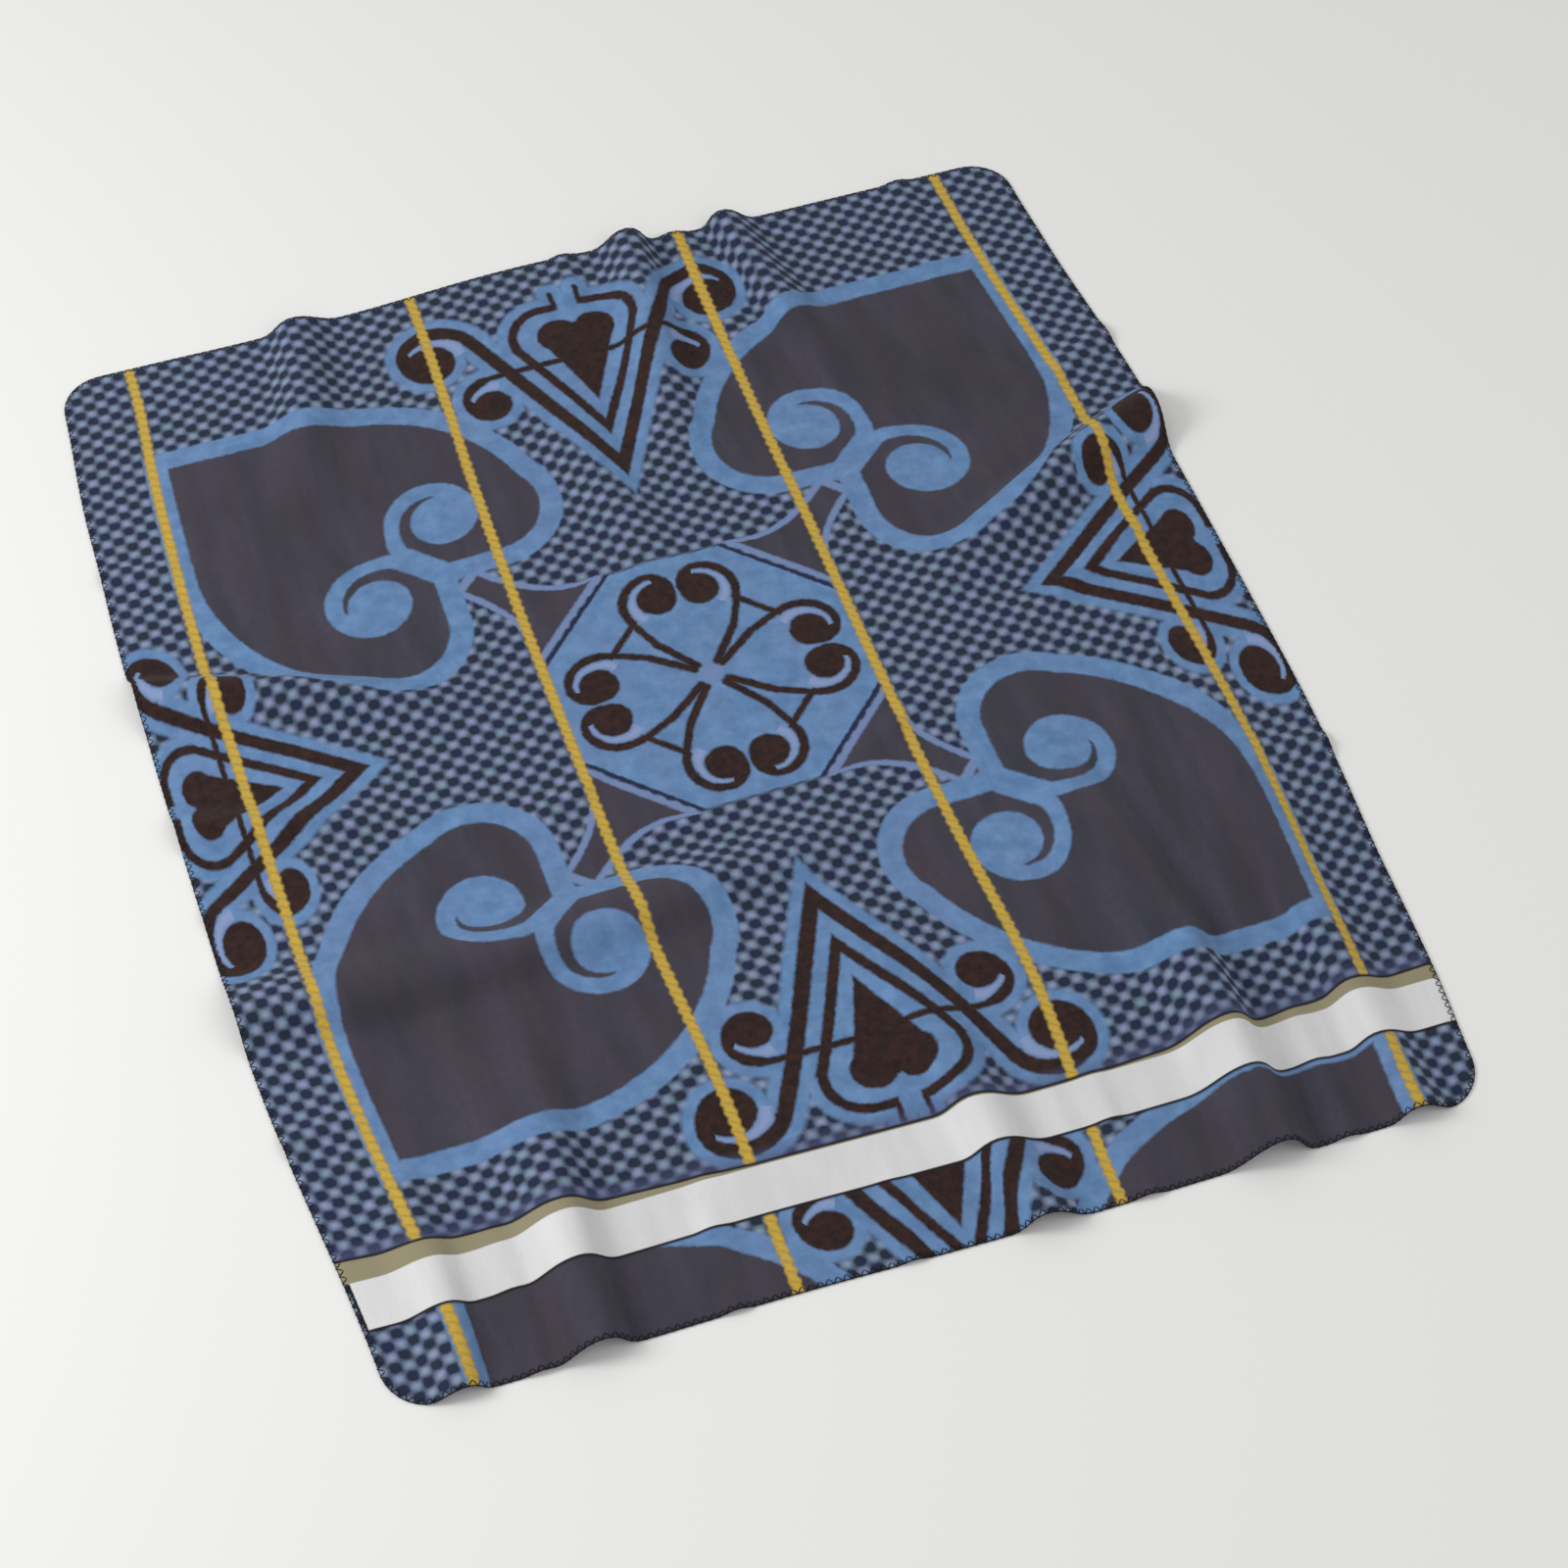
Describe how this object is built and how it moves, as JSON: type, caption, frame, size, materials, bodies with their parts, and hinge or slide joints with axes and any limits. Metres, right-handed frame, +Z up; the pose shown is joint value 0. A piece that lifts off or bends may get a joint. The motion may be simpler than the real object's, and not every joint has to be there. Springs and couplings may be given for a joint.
{
  "type": "basotho blanket",
  "caption": "Blue and grey Basotho blanket laid out in soft folds: scroll hearts, octagon medallion, chevrons, small check ground, yellow pinstripes, white hem band.",
  "frame": {"origin": "centre of the laid-out cloth's outline, on the surface it rests on", "axes": "+Z up, +Y from the front hem with the white band to the far hem, +X to the right seen from the front hem"},
  "size_m": [1.274, 1.5216, 0.0362],
  "materials": {
    "brushed_cloth": "matt brushed cloth with a short soft nap"
  },
  "bodies": {
    "root": {"blanket": "brushed_cloth"}
  },
  "joints": []
}
